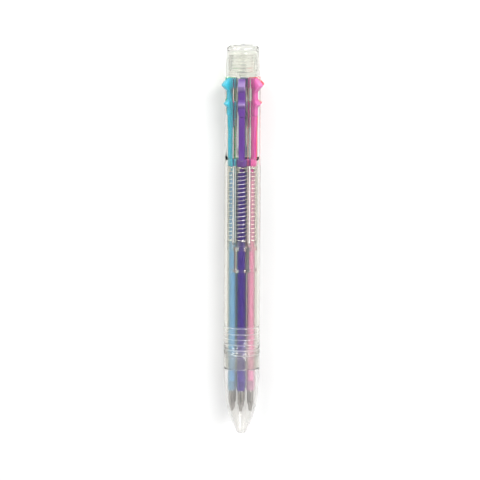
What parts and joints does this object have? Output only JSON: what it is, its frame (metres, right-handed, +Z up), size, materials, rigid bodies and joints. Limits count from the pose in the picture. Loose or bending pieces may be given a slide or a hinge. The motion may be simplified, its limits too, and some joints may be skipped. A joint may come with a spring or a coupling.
{
  "type": "multicolor click pen",
  "caption": "Clear-barrel ballpoint pen with a ring of coloured thumb sliders that each push one colour's refill out of a shared nose hole.",
  "frame": {"origin": "under the middle of the pen, on the surface that it lies on", "axes": "+Y along the pen from the writing end to the cap, +Z up through the purple slider, +X to the right seen with the cap at the top"},
  "size_m": [0.0156, 0.1446, 0.0164],
  "materials": {
    "clear_barrel": "clear moulded polystyrene, polished",
    "clear_nose": "clear moulded polystyrene, polished",
    "clear_cap": "clear moulded plastic, slightly milky",
    "clear_guide": "clear moulded plastic",
    "clear_core": "clear moulded plastic",
    "spring_steel": "drawn steel wire",
    "tip_metal": "turned nickel-plated metal, satin",
    "ball_metal": "polished hard metal ball",
    "slider_purple": "opaque moulded plastic, glossy",
    "tube_purple": "translucent extruded tube",
    "ink_purple": "ink column, seen through its tube",
    "slider_pink": "opaque moulded plastic, glossy",
    "tube_pink": "translucent extruded tube",
    "ink_pink": "ink column, seen through its tube",
    "slider_red": "opaque moulded plastic, glossy",
    "tube_red": "translucent extruded tube",
    "ink_red": "ink column, seen through its tube",
    "slider_blue": "opaque moulded plastic, glossy",
    "tube_blue": "translucent extruded tube",
    "ink_blue": "ink column, seen through its tube",
    "slider_green": "opaque moulded plastic, glossy",
    "tube_green": "translucent extruded tube",
    "ink_green": "ink column, seen through its tube",
    "slider_cyan": "opaque moulded plastic, glossy",
    "tube_cyan": "translucent extruded tube",
    "ink_cyan": "ink column, seen through its tube"
  },
  "bodies": {
    "pen_body": {"barrel": "clear_barrel", "nose_cone": "clear_nose", "end_cap": "clear_cap", "guide_insert": "clear_guide", "release_core": "clear_core", "spring_purple": "spring_steel", "spring_pink": "spring_steel", "spring_red": "spring_steel", "spring_blue": "spring_steel", "spring_green": "spring_steel", "spring_cyan": "spring_steel"},
    "purple_refill": {"slider_purple": "slider_purple", "tube_purple": "tube_purple", "ink_purple": "ink_purple"},
    "purple_point": {"tip_purple": "tip_metal", "ball_purple": "ball_metal"},
    "pink_refill": {"slider_pink": "slider_pink", "tube_pink": "tube_pink", "ink_pink": "ink_pink"},
    "pink_point": {"tip_pink": "tip_metal", "ball_pink": "ball_metal"},
    "red_refill": {"slider_red": "slider_red", "tube_red": "tube_red", "ink_red": "ink_red"},
    "red_point": {"tip_red": "tip_metal", "ball_red": "ball_metal"},
    "blue_refill": {"slider_blue": "slider_blue", "tube_blue": "tube_blue", "ink_blue": "ink_blue"},
    "blue_point": {"tip_blue": "tip_metal", "ball_blue": "ball_metal"},
    "green_refill": {"slider_green": "slider_green", "tube_green": "tube_green", "ink_green": "ink_green"},
    "green_point": {"tip_green": "tip_metal", "ball_green": "ball_metal"},
    "cyan_refill": {"slider_cyan": "slider_cyan", "tube_cyan": "tube_cyan", "ink_cyan": "ink_cyan"},
    "cyan_point": {"tip_cyan": "tip_metal", "ball_cyan": "ball_metal"}
  },
  "joints": [
    {"name": "purple_click", "type": "slide", "parent": "pen_body", "child": "purple_refill", "axis": [0, -1, 0], "range_m": [0, 0.0115], "stiffness_N_per_m": 80, "springref_m": -0.006, "deforming": ["spring_purple", "tube_purple", "ink_purple"]},
    {"name": "purple_bend", "type": "hinge", "parent": "purple_refill", "child": "purple_point", "pos_m": [0, -0.01325, 0.01195], "axis": [1, 0, 0], "range_deg": [0, 4.6], "deforming": ["tip_purple", "ball_purple"]},
    {"name": "pink_click", "type": "slide", "parent": "pen_body", "child": "pink_refill", "axis": [0, -1, 0], "range_m": [0, 0.0115], "stiffness_N_per_m": 80, "springref_m": -0.006, "deforming": ["spring_pink", "tube_pink", "ink_pink"]},
    {"name": "pink_bend", "type": "hinge", "parent": "pink_refill", "child": "pink_point", "pos_m": [0.00325, -0.01325, 0.01008], "axis": [0.5, 0, -0.866], "range_deg": [0, 4.6], "deforming": ["tip_pink", "ball_pink"]},
    {"name": "red_click", "type": "slide", "parent": "pen_body", "child": "red_refill", "axis": [0, -1, 0], "range_m": [0, 0.0115], "stiffness_N_per_m": 80, "springref_m": -0.006, "deforming": ["spring_red", "tube_red", "ink_red"]},
    {"name": "red_bend", "type": "hinge", "parent": "red_refill", "child": "red_point", "pos_m": [0.00325, -0.01325, 0.00632], "axis": [-0.5, 0, -0.866], "range_deg": [0, 4.6], "deforming": ["tip_red", "ball_red"]},
    {"name": "blue_click", "type": "slide", "parent": "pen_body", "child": "blue_refill", "axis": [0, -1, 0], "range_m": [0, 0.0115], "stiffness_N_per_m": 80, "springref_m": -0.006, "deforming": ["spring_blue", "tube_blue", "ink_blue"]},
    {"name": "blue_bend", "type": "hinge", "parent": "blue_refill", "child": "blue_point", "pos_m": [0, -0.01325, 0.00445], "axis": [-1, 0, 0], "range_deg": [0, 4.6], "deforming": ["tip_blue", "ball_blue"]},
    {"name": "green_click", "type": "slide", "parent": "pen_body", "child": "green_refill", "axis": [0, -1, 0], "range_m": [0, 0.0115], "stiffness_N_per_m": 80, "springref_m": -0.006, "deforming": ["spring_green", "tube_green", "ink_green"]},
    {"name": "green_bend", "type": "hinge", "parent": "green_refill", "child": "green_point", "pos_m": [-0.00325, -0.01325, 0.00632], "axis": [-0.5, 0, 0.866], "range_deg": [0, 4.6], "deforming": ["tip_green", "ball_green"]},
    {"name": "cyan_click", "type": "slide", "parent": "pen_body", "child": "cyan_refill", "axis": [0, -1, 0], "range_m": [0, 0.0115], "stiffness_N_per_m": 80, "springref_m": -0.006, "deforming": ["spring_cyan", "tube_cyan", "ink_cyan"]},
    {"name": "cyan_bend", "type": "hinge", "parent": "cyan_refill", "child": "cyan_point", "pos_m": [-0.00325, -0.01325, 0.01008], "axis": [0.5, 0, 0.866], "range_deg": [0, 4.6], "deforming": ["tip_cyan", "ball_cyan"]}
  ],
  "couplings": [
    {"joint": "purple_bend", "follows": "purple_click", "rad_per_m": 6.79},
    {"joint": "pink_bend", "follows": "pink_click", "rad_per_m": 6.79},
    {"joint": "red_bend", "follows": "red_click", "rad_per_m": 6.79},
    {"joint": "blue_bend", "follows": "blue_click", "rad_per_m": 6.79},
    {"joint": "green_bend", "follows": "green_click", "rad_per_m": 6.79},
    {"joint": "cyan_bend", "follows": "cyan_click", "rad_per_m": 6.79}
  ]
}
